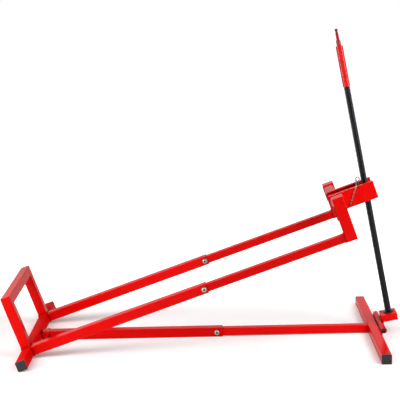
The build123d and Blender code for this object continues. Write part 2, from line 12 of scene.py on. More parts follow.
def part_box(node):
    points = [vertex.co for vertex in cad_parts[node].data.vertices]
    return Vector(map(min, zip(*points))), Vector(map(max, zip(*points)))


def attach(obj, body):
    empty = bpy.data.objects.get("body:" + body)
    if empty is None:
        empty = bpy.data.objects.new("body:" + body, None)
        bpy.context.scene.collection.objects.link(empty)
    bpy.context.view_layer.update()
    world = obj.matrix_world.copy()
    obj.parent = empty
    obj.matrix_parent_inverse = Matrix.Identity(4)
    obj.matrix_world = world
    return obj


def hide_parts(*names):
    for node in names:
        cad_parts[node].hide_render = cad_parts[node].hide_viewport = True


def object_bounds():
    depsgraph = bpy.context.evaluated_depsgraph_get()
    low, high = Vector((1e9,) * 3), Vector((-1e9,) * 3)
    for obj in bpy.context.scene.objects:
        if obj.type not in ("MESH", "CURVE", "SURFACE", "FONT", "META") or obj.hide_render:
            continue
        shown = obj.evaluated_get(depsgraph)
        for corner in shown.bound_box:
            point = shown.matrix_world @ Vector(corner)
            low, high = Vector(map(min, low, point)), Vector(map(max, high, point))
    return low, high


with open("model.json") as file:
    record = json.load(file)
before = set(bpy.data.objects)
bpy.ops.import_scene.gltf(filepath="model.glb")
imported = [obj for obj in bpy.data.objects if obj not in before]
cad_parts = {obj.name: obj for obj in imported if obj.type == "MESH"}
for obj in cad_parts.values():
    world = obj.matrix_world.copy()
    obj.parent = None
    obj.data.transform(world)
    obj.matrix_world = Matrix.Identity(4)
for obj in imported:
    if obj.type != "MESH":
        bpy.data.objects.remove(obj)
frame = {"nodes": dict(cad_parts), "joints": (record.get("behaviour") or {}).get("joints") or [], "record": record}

bl_info = {
    "name": "Lift jack",
    "version": (1, 0, 0),
    "blender": (4, 5, 0),
    "location": "3D View > Sidebar > Lift jack",
    "description": "Finishes the lift jack's solids, cuts its screw thread and lays its welds",
    "category": "Object",
}

MM = 0.001
cad_box = [list(corner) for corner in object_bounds()]

# Axes of a body's space, as the space function lays them.
ALONG = 0
ACROSS = 1
UP = 2

# Sockets of a colour Mix node, which go by number because their names repeat.
MIX_SHARE = 0
MIX_FIRST = 6
MIX_SECOND = 7
MIX_RESULT = 2

# Length of one wave in a Wave texture at scale 1.
WAVE_LENGTH = 2 * pi / 20

# Points nearer than the first are merged, and levels nearer than the second count as one.
MERGE_DISTANCE = 0.001 * MM
CLOSE = 0.01 * MM

# Trapezoidal thread: the lean of its flanks, and its crest's width and its rise above the pitch
# line as shares of the lead.
FLANK_LEAN = radians(15)
CREST_SHARE = 0.366
CREST_RISE = 0.25

# Plain ends of the spindle: turns of thread that run on into them, turns inside the drive sleeve, the
# neck in that sleeve, the gap over the thrust washer, and their sides and bevelled rims.
TURNS_IN_ENDS = 1.5
TURNS_IN_SLEEVE = 2
SLEEVE_NECK = 4.0 * MM
WASHER_GAP = 0.1 * MM
END_SIDES = 48
END_BEVEL = 0.5 * MM

# One weld ripple: its half length and the lead of its crown as shares of the pitch, and the crown's
# radius as a share of the bead's.
RIPPLE_HALF = 0.8
CROWN_LEAD = 0.25
CROWN_SHARE = 0.6

# Where beads stop short: at a tube's round corners, beside the foot's knuckle and at the ends of the
# hinge leaf and the foot block. The groove behind the hinge eyes lies in from the beam's corner.
TUBE_CORNER = 3.0 * MM
KNUCKLE_GAP = 3.0 * MM
LEAF_INSET = 2.0 * MM
BLOCK_INSET = 3.0 * MM
GROOVE_INSET = 0.5 * MM
GROOVE_DROP = 1.5 * MM

# Edges of the screw and of the beads that turn by more than these stay sharp.
SCREW_SMOOTH = radians(35)
BEAD_SMOOTH = radians(60)

# The studio, in metres: the floor's side, and the oval of the floor round the jack that keeps its
# shadow, as scale and shift of the place on the floor.
FLOOR_SIDE = 60.0
OVAL_SCALE = (0.4, 2.0, 1.0)
OVAL_SHIFT = (0.0, 0.12, 0.0)

# Lamps: name, place, aim, width and height in metres, spread in degrees, watts, and whether it lights
# matt surfaces or shows as a gloss alone.
LAMPS = (
    ("left_softbox", (-1.4, -1.1, 1.8), (0.0, 0.0, 0.3), (1.5, 1.5), 180, 26.0, True),
    ("right_softbox", (1.4, -1.1, 1.8), (0.0, 0.0, 0.3), (1.5, 1.5), 180, 26.0, True),
    ("left_strip", (-1.3, -1.0, 0.7), (-0.45, -0.15, 0.15), (0.3, 1.4), 60, 1.8, True),
    ("left_gloss", (-1.1, -0.6, 0.9), (0.4, 0.0, 0.8), (0.5, 1.8), 180, 18.0, False),
    ("right_gloss", (1.9, -0.6, 0.9), (0.4, 0.0, 0.8), (0.5, 1.8), 180, 18.0, False),
    ("right_strip", (1.5, -0.9, 1.2), (0.53, -0.05, 0.15), (0.3, 1.4), 60, 2.0, True),
)

# The camera's sensor, in millimetres.
SENSOR_WIDTH = 36.0


def linear(colour):
    """Linear red, green and blue of an sRGB hex colour."""
    steps = [int(colour[place:place + 2], 16) / 255 for place in (0, 2, 4)]
    return tuple(step / 12.92 if step <= 0.04045 else ((step + 0.055) / 1.055) ** 2.4 for step in steps)


def space(origin, up):
    """Local space of a tilted body: x along it, y to its left and z up from it."""
    along = Vector((up.z, 0.0, -up.x))
    columns = Matrix((along, Vector((0.0, 1.0, 0.0)), up)).transposed()
    return Matrix.Translation(origin) @ columns.to_4x4()


def span(node, local):
    """Lowest and highest corner of a CAD node in a local space."""
    to_local = local.inverted()
    points = [to_local @ vertex.co for vertex in frame["nodes"][node].data.vertices]
    low = Vector([min(point[axis] for point in points) for axis in range(3)])
    high = Vector([max(point[axis] for point in points) for axis in range(3)])
    return low, high


# The spaces of the jack's bodies at rest.
joints = {joint["name"]: joint for joint in frame["joints"]}
mounts = {mount["name"]: mount for mount in frame["record"]["mounts"]}
rear_low, rear_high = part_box("rear_cross_beam")
rod_up = Vector(joints["spindle_turn"]["axis"])
FLOOR = Matrix.Identity(4)
LIFT = space((rear_low + rear_high) / 2, Vector(mounts["arm_rest_left"]["axis"]))
FOOT = space(Vector(joints["foot_tilt"]["pos_m"]), rod_up)
ROD = space(Vector(joints["spindle_turn"]["pos_m"]), rod_up)
slot_nodes = {}
for subpart in frame["record"]["subparts"]:
    slot_nodes.setdefault(subpart["material_slot"], []).append(subpart["node"])


class LiftJackFinishes(PropertyGroup):
    """Colours of the jack's finishes."""

    red_paint: FloatVectorProperty(
        name="Red paint",
        description="Powder coat on the tubes, the hinges and the drive sleeve",
        subtype="COLOR",
        min=0.0,
        max=1.0,
        default=linear("da0604"),
    )
    # Painted shade: a darker copy of the red for tubes that the lamps leave in less light.
    shaded_red_paint: FloatVectorProperty(
        name="Deep red paint",
        description="Powder coat on the sliding arm tubes and the base's outer tube, a shade deeper",
        subtype="COLOR",
        min=0.0,
        max=1.0,
        default=linear("cf0503"),
    )
    worn_tip: FloatVectorProperty(
        name="Worn tip",
        description="Rubbed paint at the tip of the drive shank",
        subtype="COLOR",
        min=0.0,
        max=1.0,
        default=linear("6a2c30"),
    )
    plug_plastic: FloatVectorProperty(
        name="Plug plastic",
        description="Moulded plugs in the beam ends",
        subtype="COLOR",
        min=0.0,
        max=1.0,
        default=linear("141315"),
    )
    zinc_plate: FloatVectorProperty(
        name="Zinc plate",
        description="Bolts, washers, nuts and chain",
        subtype="COLOR",
        min=0.0,
        max=1.0,
        default=linear("b9b4a6"),
    )
    clip_wire: FloatVectorProperty(
        name="Clip wire",
        description="Duller zinc on the spring wire of the retaining clip",
        subtype="COLOR",
        min=0.0,
        max=1.0,
        default=linear("7a766c"),
    )
    black_oxide: FloatVectorProperty(
        name="Black oxide",
        description="Spindle, thrust washer, nut carriage and front hinge pin",
        subtype="COLOR",
        min=0.0,
        max=1.0,
        default=linear("303034"),
    )
    bronze: FloatVectorProperty(
        name="Bronze",
        description="Spindle nut and bush",
        subtype="COLOR",
        min=0.0,
        max=1.0,
        default=linear("b98a4e"),
    )
    bare_steel: FloatVectorProperty(
        name="Bare steel",
        description="Retaining collar of the spindle and its pin",
        subtype="COLOR",
        min=0.0,
        max=1.0,
        default=linear("9a9a9c"),
    )


class LiftJackSizes(PropertyGroup):
    """Sizes of the spindle's thread and necks, the weld beads and the worn tip."""

    thread_lead: FloatProperty(
        name="Thread lead",
        description="Rise of the trapezoidal thread in one turn",
        unit="LENGTH",
        min=0.002,
        max=0.008,
        default=4.0 * MM,
    )
    thread_depth: FloatProperty(
        name="Thread depth",
        description="Height of the thread from root to crest",
        unit="LENGTH",
        min=0.001,
        max=0.004,
        default=2.25 * MM,
    )
    thread_steps: IntProperty(
        name="Thread steps",
        description="Straight steps in one turn of the thread",
        min=12,
        max=48,
        default=20,
    )
    shoulder: FloatProperty(
        name="Plain shoulder",
        description="Length of the unthreaded part above the thrust washer",
        unit="LENGTH",
        min=0.004,
        max=0.04,
        default=10.0 * MM,
    )
    journal_radius: FloatProperty(
        name="Journal radius",
        description="Radius of the necks that sit in the bush and in the drive sleeve",
        unit="LENGTH",
        min=0.004,
        max=0.0085,
        default=7.0 * MM,
    )
    worn_length: FloatProperty(
        name="Worn length",
        description="Length of the drive shank's rubbed tip",
        unit="LENGTH",
        min=0.0,
        max=0.03,
        default=10.0 * MM,
    )
    bead_radius: FloatProperty(
        name="Bead radius",
        description="Radius of a weld bead about the seam that it fills",
        unit="LENGTH",
        min=0.001,
        max=0.006,
        default=2.6 * MM,
    )
    bead_pitch: FloatProperty(
        name="Bead pitch",
        description="Distance between the ripples of a weld bead",
        unit="LENGTH",
        min=0.001,
        max=0.006,
        default=2.5 * MM,
    )


class LiftJackStudio(PropertyGroup):
    """Camera, floor and light."""

    camera_place: FloatVectorProperty(
        name="Camera place",
        description="Where the camera stands",
        subtype="TRANSLATION",
        unit="LENGTH",
        default=(46.83 * MM, -3319.59 * MM, 1117.43 * MM),
    )
    camera_pitch: FloatProperty(
        name="Camera pitch",
        description="How far the camera looks down",
        subtype="ANGLE",
        default=radians(11.48),
    )
    camera_yaw: FloatProperty(
        name="Camera yaw",
        description="How far the camera is turned to the right",
        subtype="ANGLE",
        default=radians(-0.89),
    )
    camera_roll: FloatProperty(
        name="Camera roll",
        description="How far the camera is tipped about its line of sight",
        subtype="ANGLE",
        default=radians(-1.50),
    )
    camera_lens: FloatProperty(
        name="Camera lens",
        description="Focal length in millimetres on a 36 mm sensor",
        unit="CAMERA",
        min=10.0,
        max=300.0,
        default=97.68,
    )
    floor_colour: FloatVectorProperty(
        name="Floor colour",
        description="Plain pale floor",
        subtype="COLOR",
        min=0.0,
        max=1.0,
        default=linear("f8f8f8"),
    )
    lamp_level: FloatProperty(
        name="Lamp level",
        description="Strength of all lamps together",
        subtype="FACTOR",
        min=0.0,
        max=4.0,
        default=1.0,
    )
    ambient: FloatProperty(
        name="Ambient light",
        description="Light from the white room on all sides",
        subtype="FACTOR",
        min=0.0,
        max=2.0,
        default=0.2,
    )


def add_node(tree, kind, sockets=None, **settings):
    """Adds a node with its settings; a socket value that is itself a socket is linked."""
    node = tree.nodes.new(kind)
    for name, value in settings.items():
        setattr(node, name, value)
    for key, value in (sockets or {}).items():
        if isinstance(value, bpy.types.NodeSocket):
            tree.links.new(value, node.inputs[key])
        else:
            node.inputs[key].default_value = value
    return node


def start_finish(name):
    """A new material, its node tree and the Object coordinates that its patterns follow."""
    material = bpy.data.materials.new(name)
    material.use_nodes = True
    material.node_tree.nodes.clear()
    place = add_node(material.node_tree, "ShaderNodeTexCoord").outputs["Object"]
    return material, material.node_tree, place


def per_metre(size):
    """Texture scale whose marks are a size in millimetres apart."""
    return 1.0 / (size * MM)


def shaded(colour, level):
    """A colour made darker or lighter, with its alpha."""
    return (*[min(1.0, part * level) for part in colour], 1.0)


def red_powder_coat(name, colour, rough, specular):
    """Polyester powder, sprayed on the steel and baked."""
    # A deep even red with a soft gloss: slow clouds of tone, and the waviness of orange peel.
    # The peel is about 2 mm from crest to crest, and is drawn at 5 mm so that it shows.
    # Seams and hollows are darker with painted shade, the shade that falls in them, but not along the floor.
    material, tree, place = start_finish(name)
    cloud = add_node(
        tree, "ShaderNodeTexNoise", {"Vector": place, "Scale": per_metre(70), "Detail": 3.0}
    )
    tone = add_node(
        tree,
        "ShaderNodeMix",
        {
            MIX_SHARE: cloud.outputs["Fac"],
            MIX_FIRST: shaded(colour, 0.94),
            MIX_SECOND: shaded(colour, 1.06),
        },
        data_type="RGBA",
    )
    # Painted shade: ambient occlusion paints seams and hollows nearly black.
    seam = add_node(tree, "ShaderNodeAmbientOcclusion", {"Distance": 12 * MM}, samples=16)
    unshaded_share = add_node(
        tree,
        "ShaderNodeMapRange",
        {"Value": seam.outputs["AO"], "From Min": 0.42, "From Max": 0.88},
    )
    height = add_node(tree, "ShaderNodeSeparateXYZ", {0: place}).outputs["Z"]
    near_floor = add_node(
        tree,
        "ShaderNodeMapRange",
        {"Value": height, "From Min": 6 * MM, "From Max": 12 * MM, "To Min": 1.0, "To Max": 0.0},
    )
    clear = add_node(
        tree,
        "ShaderNodeMath",
        {0: unshaded_share.outputs[0], 1: near_floor.outputs[0]},
        operation="MAXIMUM",
    )
    shade = add_node(
        tree,
        "ShaderNodeMix",
        {
            MIX_SHARE: clear.outputs[0],
            MIX_FIRST: shaded(colour, 0.08),
            MIX_SECOND: tone.outputs[MIX_RESULT],
        },
        data_type="RGBA",
    )
    gloss = add_node(
        tree,
        "ShaderNodeMapRange",
        {"Value": cloud.outputs["Fac"], "To Min": 0.6 * rough, "To Max": 1.4 * rough},
    )
    peel = add_node(
        tree, "ShaderNodeTexNoise", {"Vector": place, "Scale": per_metre(5), "Detail": 1.0}
    )
    bump = add_node(
        tree, "ShaderNodeBump", {"Height": peel.outputs["Fac"], "Strength": 0.06, "Distance": 1 * MM}
    )
    paint = add_node(
        tree,
        "ShaderNodeBsdfPrincipled",
        {
            "Base Color": shade.outputs[MIX_RESULT],
            "Roughness": gloss.outputs[0],
            "Normal": bump.outputs[0],
            "IOR": 1.5,
            "Specular IOR Level": specular,
        },
    )
    add_node(tree, "ShaderNodeOutputMaterial", {"Surface": paint.outputs[0]})
    return material


def worn_powder_coat(colour, worn, tip_level):
    """Powder coat on the hexagon shank, rubbed thin above its groove by drill chucks."""
    # A duller red than on the tubes, its darkness painted shade, and a brown tip above an edge that wanders
    # over 3 mm and fades over 1.5 mm.
    material, tree, place = start_finish("worn_powder_coat")
    height = add_node(
        tree, "ShaderNodeVectorMath", {0: place, 1: rod_up}, operation="DOT_PRODUCT"
    )
    scuff = add_node(
        tree, "ShaderNodeTexNoise", {"Vector": place, "Scale": per_metre(4), "Detail": 3.0}
    )
    edge = add_node(
        tree,
        "ShaderNodeMath",
        {0: scuff.outputs["Fac"], 1: 3 * MM, 2: height.outputs["Value"]},
        operation="MULTIPLY_ADD",
    )
    rubbed = add_node(
        tree,
        "ShaderNodeMapRange",
        {"Value": edge.outputs[0], "From Min": tip_level, "From Max": tip_level + 1.5 * MM},
    )
    # Painted shade darkens the shank's red; the rubbed tip's brown is its own colour.
    tone = add_node(
        tree,
        "ShaderNodeMix",
        {
            MIX_SHARE: rubbed.outputs[0],
            MIX_FIRST: shaded(colour, 0.55),
            MIX_SECOND: shaded(worn, 1.0),
        },
        data_type="RGBA",
    )
    gloss = add_node(
        tree,
        "ShaderNodeMapRange",
        {"Value": scuff.outputs["Fac"], "To Min": 0.28, "To Max": 0.44},
    )
    paint = add_node(
        tree,
        "ShaderNodeBsdfPrincipled",
        {"Base Color": tone.outputs[MIX_RESULT], "Roughness": gloss.outputs[0]},
    )
    add_node(tree, "ShaderNodeOutputMaterial", {"Surface": paint.outputs[0]})
    return material


def moulded_polypropylene(colour):
    """Injection-moulded black plugs."""
    # A dull black skin with a fine spark-eroded grain, about 0.4 mm, drawn at 1.5 mm to show.
    material, tree, place = start_finish("moulded_polypropylene")
    grain = add_node(
        tree, "ShaderNodeTexNoise", {"Vector": place, "Scale": per_metre(1.5), "Detail": 2.0}
    )
    tone = add_node(
        tree,
        "ShaderNodeMix",
        {
            MIX_SHARE: grain.outputs["Fac"],
            MIX_FIRST: shaded(colour, 0.8),
            MIX_SECOND: shaded(colour, 1.25),
        },
        data_type="RGBA",
    )
    dull = add_node(
        tree,
        "ShaderNodeMapRange",
        {"Value": grain.outputs["Fac"], "To Min": 0.42, "To Max": 0.6},
    )
    bump = add_node(
        tree, "ShaderNodeBump", {"Height": grain.outputs["Fac"], "Strength": 0.2, "Distance": 0.2 * MM}
    )
    plastic = add_node(
        tree,
        "ShaderNodeBsdfPrincipled",
        {
            "Base Color": tone.outputs[MIX_RESULT],
            "Roughness": dull.outputs[0],
            "Normal": bump.outputs[0],
            "IOR": 1.49,
        },
    )
    add_node(tree, "ShaderNodeOutputMaterial", {"Surface": plastic.outputs[0]})
    return material


def zinc_plated_steel(name, colour):
    """Bright zinc on bolts, wire and chain."""
    # Silver-grey with faint warm passivation clouds, a slight frost in the gloss, and recesses painted nearly
    # black with painted shade.
    material, tree, place = start_finish(name)
    cloud = add_node(
        tree, "ShaderNodeTexNoise", {"Vector": place, "Scale": per_metre(5), "Detail": 4.0}
    )
    tone = add_node(
        tree,
        "ShaderNodeMix",
        {
            MIX_SHARE: cloud.outputs["Fac"],
            MIX_FIRST: shaded(colour, 0.72),
            MIX_SECOND: shaded(colour, 1.15),
        },
        data_type="RGBA",
    )
    # Painted shade: ambient occlusion paints the recesses nearly black.
    recess_shade = add_node(tree, "ShaderNodeAmbientOcclusion", {"Distance": 6 * MM}, samples=16)
    unshaded_share = add_node(
        tree,
        "ShaderNodeMapRange",
        {"Value": recess_shade.outputs["AO"], "From Min": 0.45, "From Max": 0.95},
    )
    shade = add_node(
        tree,
        "ShaderNodeMix",
        {
            MIX_SHARE: unshaded_share.outputs[0],
            MIX_FIRST: shaded(colour, 0.06),
            MIX_SECOND: tone.outputs[MIX_RESULT],
        },
        data_type="RGBA",
    )
    frost = add_node(
        tree,
        "ShaderNodeMapRange",
        {"Value": cloud.outputs["Fac"], "From Min": 0.3, "From Max": 0.7, "To Min": 0.12, "To Max": 0.26},
    )
    plate = add_node(
        tree,
        "ShaderNodeBsdfPrincipled",
        {"Base Color": shade.outputs[MIX_RESULT], "Metallic": 1.0, "Roughness": frost.outputs[0]},
    )
    add_node(tree, "ShaderNodeOutputMaterial", {"Surface": plate.outputs[0]})
    return material


def black_oxide_steel(colour):
    """Rolled screw steel, blacked and oiled."""
    # Nearly black metal whose oil film gives a soft sheen along each thread.
    material, tree, place = start_finish("black_oxide_steel")
    film = add_node(
        tree, "ShaderNodeTexNoise", {"Vector": place, "Scale": per_metre(12), "Detail": 4.0}
    )
    tone = add_node(
        tree,
        "ShaderNodeMix",
        {
            MIX_SHARE: film.outputs["Fac"],
            MIX_FIRST: shaded(colour, 0.75),
            MIX_SECOND: shaded(colour, 1.3),
        },
        data_type="RGBA",
    )
    sheen = add_node(
        tree,
        "ShaderNodeMapRange",
        {"Value": film.outputs["Fac"], "From Min": 0.3, "From Max": 0.7, "To Min": 0.3, "To Max": 0.5},
    )
    steel = add_node(
        tree,
        "ShaderNodeBsdfPrincipled",
        {"Base Color": tone.outputs[MIX_RESULT], "Metallic": 1.0, "Roughness": sheen.outputs[0]},
    )
    add_node(tree, "ShaderNodeOutputMaterial", {"Surface": steel.outputs[0]})
    return material


def cast_bronze(colour):
    """Continuously cast bronze, turned to size."""
    # Warm brown-gold with darker grease in the turning marks.
    material, tree, place = start_finish("cast_bronze")
    grease = add_node(
        tree, "ShaderNodeTexNoise", {"Vector": place, "Scale": per_metre(6), "Detail": 4.0}
    )
    tone = add_node(
        tree,
        "ShaderNodeMix",
        {
            MIX_SHARE: grease.outputs["Fac"],
            MIX_FIRST: shaded(colour, 0.6),
            MIX_SECOND: shaded(colour, 1.1),
        },
        data_type="RGBA",
    )
    sheen = add_node(
        tree,
        "ShaderNodeMapRange",
        {"Value": grease.outputs["Fac"], "To Min": 0.25, "To Max": 0.5},
    )
    metal = add_node(
        tree,
        "ShaderNodeBsdfPrincipled",
        {"Base Color": tone.outputs[MIX_RESULT], "Metallic": 1.0, "Roughness": sheen.outputs[0]},
    )
    add_node(tree, "ShaderNodeOutputMaterial", {"Surface": metal.outputs[0]})
    return material


def turned_steel(colour):
    """Bare machined steel with a film of oil."""
    # Grey metal with fine cutter marks across it, 0.2 mm apart and drawn at 1.6 mm to show.
    material, tree, place = start_finish("turned_steel")
    marks = add_node(
        tree,
        "ShaderNodeTexWave",
        {"Vector": place, "Scale": WAVE_LENGTH * per_metre(1.6), "Distortion": 1.5, "Detail": 2.0},
        bands_direction="Y",
    )
    tone = add_node(
        tree,
        "ShaderNodeMix",
        {
            MIX_SHARE: marks.outputs["Fac"],
            MIX_FIRST: shaded(colour, 0.8),
            MIX_SECOND: shaded(colour, 1.1),
        },
        data_type="RGBA",
    )
    sheen = add_node(
        tree,
        "ShaderNodeMapRange",
        {"Value": marks.outputs["Fac"], "To Min": 0.26, "To Max": 0.4},
    )
    metal = add_node(
        tree,
        "ShaderNodeBsdfPrincipled",
        {"Base Color": tone.outputs[MIX_RESULT], "Metallic": 1.0, "Roughness": sheen.outputs[0]},
    )
    add_node(tree, "ShaderNodeOutputMaterial", {"Surface": metal.outputs[0]})
    return material


def give_finish(piece, material):
    """Leaves a piece with one finish in its one slot."""
    piece.data.materials.clear()
    piece.data.materials.append(material)


def finish_nodes(slot, material):
    """Gives every CAD node of a material slot the same finish."""
    if slot not in slot_nodes:
        raise RuntimeError(f"the frame has no nodes in slot {slot}")
    for node in slot_nodes[slot]:
        give_finish(frame["nodes"][node], material)


def object_mode():
    """Leaves edit mode with nothing selected."""
    if bpy.context.mode != "OBJECT":
        bpy.ops.object.mode_set(mode="OBJECT")
    bpy.ops.object.select_all(action="DESELECT")


def take(piece):
    """Makes a piece the only selected one, and the active one."""
    object_mode()
    piece.select_set(True)
    bpy.context.view_layer.objects.active = piece


def pick(piece, kind, test):
    """Opens a piece in edit mode with the vertices, edges or faces selected that pass a test."""
    take(piece)
    bpy.ops.object.mode_set(mode="EDIT")
    bpy.ops.mesh.select_mode(type=kind)
    bpy.ops.mesh.select_all(action="DESELECT")
    bpy.ops.object.mode_set(mode="OBJECT")
    parts = {"VERT": piece.data.vertices, "EDGE": piece.data.edges, "FACE": piece.data.polygons}[kind]
    for part in parts:
        part.select = test(part)
    bpy.ops.object.mode_set(mode="EDIT")


def settle(piece, local):
    """Places a piece in a local space and puts that place into its mesh."""
    take(piece)
    piece.matrix_world = local @ piece.matrix_world
    bpy.ops.object.transform_apply(location=True, rotation=True, scale=True)


def unite(pieces, name):
    """Joins pieces into one named piece."""
    take(pieces[0])
    for piece in pieces[1:]:
        piece.select_set(True)
    bpy.ops.object.join()
    pieces[0].name = name
    pieces[0].data.name = name
    return pieces[0]


def tidy_surface(piece, angle):
    """Merges doubles, turns the faces outwards and smooths all but the sharp edges."""
    pick(piece, "VERT", lambda vertex: True)
    bpy.ops.mesh.remove_doubles(threshold=MERGE_DISTANCE)
    bpy.ops.mesh.select_all(action="SELECT")
    bpy.ops.mesh.normals_make_consistent(inside=False)
    take(piece)
    bpy.ops.object.shade_smooth_by_angle(angle=angle)


def thread_length(sizes, crest, bottom, top):
    """Threaded part of the spindle, standing on Z from a bottom level to a top level."""
    flank_run = sizes.thread_depth * tan(FLANK_LEAN)
    crest_flat = CREST_SHARE * sizes.thread_lead
    root_flat = sizes.thread_lead - crest_flat - 2 * flank_run
    turns = floor((top - bottom) / sizes.thread_lead)
    root = crest - sizes.thread_depth
    object_mode()
    bpy.ops.mesh.primitive_plane_add(size=1 * MM, location=(root, 0.0, bottom))
    thread = bpy.context.object
    bpy.ops.object.transform_apply(location=True)
    pick(thread, "VERT", lambda vertex: True)
    bpy.ops.mesh.merge(type="CENTER")
    profile = (
        (0.0, root_flat),
        (sizes.thread_depth, flank_run),
        (0.0, crest_flat),
        (-sizes.thread_depth, flank_run),
    )
    for out, up in profile:
        bpy.ops.mesh.extrude_region_move(TRANSFORM_OT_translate={"value": (out, 0.0, up)})
    take(thread)
    screw = thread.modifiers.new("Thread", "SCREW")
    screw.axis = "Z"
    screw.angle = 2 * pi
    screw.screw_offset = sizes.thread_lead
    screw.iterations = turns
    screw.steps = sizes.thread_steps
    screw.render_steps = sizes.thread_steps
    bpy.ops.object.modifier_apply(modifier=screw.name)
    pick(thread, "VERT", lambda vertex: True)
    bpy.ops.mesh.remove_doubles(threshold=MERGE_DISTANCE)
    close_thread_ends(thread, (bottom + top) / 2)
    return thread


def close_thread_ends(thread, middle):
    """Closes the two open rims of the thread, each drawn to a point on the axis."""
    for lower in (True, False):
        pick(thread, "EDGE", lambda edge: False)
        bpy.ops.mesh.select_non_manifold()
        bpy.ops.object.mode_set(mode="OBJECT")
        points = thread.data.vertices
        for edge in thread.data.edges:
            first, second = (points[index].co for index in edge.vertices)
            edge.select = edge.select and ((first.z + second.z) / 2 < middle) == lower
        bpy.ops.object.mode_set(mode="EDIT")
        bpy.ops.mesh.extrude_region_move(TRANSFORM_OT_translate={"value": (0.0, 0.0, 0.0)})
        bpy.ops.mesh.merge(type="CENTER")
    object_mode()


def plain_end(radius, bottom, top, neck_radius, neck_end):
    """Unthreaded end of the spindle with a thinner neck below or above it."""
    object_mode()
    bpy.ops.mesh.primitive_cylinder_add(
        vertices=END_SIDES, radius=radius, depth=top - bottom, location=(0.0, 0.0, (bottom + top) / 2)
    )
    end = bpy.context.object
    bpy.ops.object.transform_apply(location=True)
    down = neck_end < bottom
    level = bottom if down else top
    pick(end, "FACE", lambda face: abs(face.center.z - level) < CLOSE)
    bpy.ops.mesh.inset(thickness=radius - neck_radius, depth=0.0)
    bpy.ops.mesh.extrude_region_move(TRANSFORM_OT_translate={"value": (0.0, 0.0, neck_end - level)})
    rims = {round(value / MM, 2) for value in (bottom, top, neck_end)}

    def on_rim(edge):
        ends = [end.data.vertices[index].co for index in edge.vertices]
        flat = abs(ends[0].z - ends[1].z) < CLOSE
        round_edge = abs(ends[0].xy.length - ends[1].xy.length) < CLOSE
        return flat and round_edge and round(ends[0].z / MM, 2) in rims and ends[0].xy.length > 0

    pick(end, "EDGE", on_rim)
    bpy.ops.mesh.bevel(offset=END_BEVEL, segments=2, affect="EDGES")
    object_mode()
    return end


def weld_ripple(sizes):
    """One ripple of a weld bead, its run along X, drawn forward in the middle as it froze."""
    object_mode()
    bpy.ops.mesh.primitive_uv_sphere_add(segments=8, ring_count=6, radius=sizes.bead_radius)
    ripple = bpy.context.object
    pick(ripple, "VERT", lambda vertex: True)
    bpy.ops.transform.rotate(value=pi / 2, orient_axis="Y", center_override=(0.0, 0.0, 0.0))
    bpy.ops.transform.resize(
        value=(RIPPLE_HALF * sizes.bead_pitch / sizes.bead_radius, 1.0, 1.0),
        center_override=(0.0, 0.0, 0.0),
    )
    crown = CROWN_SHARE * sizes.bead_radius
    pick(ripple, "VERT", lambda vertex: vertex.co.yz.length < crown)
    bpy.ops.transform.translate(value=(CROWN_LEAD * sizes.bead_pitch, 0.0, 0.0))
    object_mode()
    return ripple


def weld_row(ripple, sizes, start, end):
    """A bead of ripples along one straight seam."""
    run = end - start
    take(ripple)
    bpy.ops.object.duplicate()
    row = bpy.context.object
    ripples = row.modifiers.new("Ripples", "ARRAY")
    ripples.fit_type = "FIXED_COUNT"
    ripples.count = max(2, round(run.length / sizes.bead_pitch) + 1)
    ripples.use_relative_offset = False
    ripples.use_constant_offset = True
    ripples.constant_offset_displace = (run.length / (ripples.count - 1), 0.0, 0.0)
    bpy.ops.object.modifier_apply(modifier=ripples.name)
    settle(row, Matrix.Translation(start) @ run.to_track_quat("X", "Z").to_matrix().to_4x4())
    return row


def seams_round(node, local, axis, at_high, sides=(0, 1, 2, 3)):
    """Seams along the sides of a tube's section, at the end where it meets its neighbour."""
    # Sides 0 and 1 are the low and the high one on the first axis across the tube, and 2 and 3 those
    # on the second.
    low, high = span(node, local)
    level = high[axis] if at_high else low[axis]
    first, second = [index for index in range(3) if index != axis]
    near, far = low[first], high[first]
    bottom, top = low[second], high[second]
    ends = (
        ((near, bottom + TUBE_CORNER), (near, top - TUBE_CORNER)),
        ((far, bottom + TUBE_CORNER), (far, top - TUBE_CORNER)),
        ((near + TUBE_CORNER, bottom), (far - TUBE_CORNER, bottom)),
        ((near + TUBE_CORNER, top), (far - TUBE_CORNER, top)),
    )
    seams = []
    for side in sides:
        points = []
        for across, up in ends[side]:
            point = Vector((0.0, 0.0, 0.0))
            point[axis] = level
            point[first] = across
            point[second] = up
            points.append(local @ point)
        seams.append(points)
    return seams


def lift_frame_seams():
    """Seams of the lift frame: arms, stop frame, forks and hinge lugs."""
    seams = []
    for side in ("left", "right"):
        seams += seams_round(f"arm_outer_{side}", LIFT, ALONG, at_high=False)
        seams += seams_round(f"stop_post_{side}", LIFT, UP, at_high=False)
        seams += seams_round(f"arm_inner_{side}", LIFT, ALONG, at_high=True)
        seams += seams_round(f"fork_cross_tube_{side}", LIFT, ACROSS, at_high=False)
        seams += seams_round(f"fork_cross_tube_{side}", LIFT, ACROSS, at_high=True)
    seams += seams_round("rear_hinge_lugs", LIFT, ALONG, at_high=False, sides=(0, 1))
    return seams


def base_seams():
    """Seams of the base: the bar against the front beam, and the hinge eyes along that beam."""
    seams = seams_round("base_inner_tube", FLOOR, ALONG, at_high=True)
    leaf_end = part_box("front_hinge_leaf")[1].y
    knuckle_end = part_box("foot_knuckle")[1].y
    beam_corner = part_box("front_foot_beam")[1]
    groove = Vector((beam_corner.x - GROOVE_INSET, 0.0, beam_corner.z - GROOVE_DROP))
    for side in (1, -1):
        inner = groove + Vector((0.0, side * (knuckle_end + KNUCKLE_GAP), 0.0))
        outer = groove + Vector((0.0, side * (leaf_end - LEAF_INSET), 0.0))
        seams.append((inner, outer))
    return seams


def foot_seams():
    """Seam between the foot's knuckle and its block."""
    block_low, block_high = span("foot_block", FOOT)
    knuckle_high = span("foot_knuckle", FOOT)[1]
    corner = Vector((block_low.x, 0.0, knuckle_high.z))
    reach = Vector((0.0, block_high.y - BLOCK_INSET, 0.0))
    return [(FOOT @ (corner - reach), FOOT @ (corner + reach))]


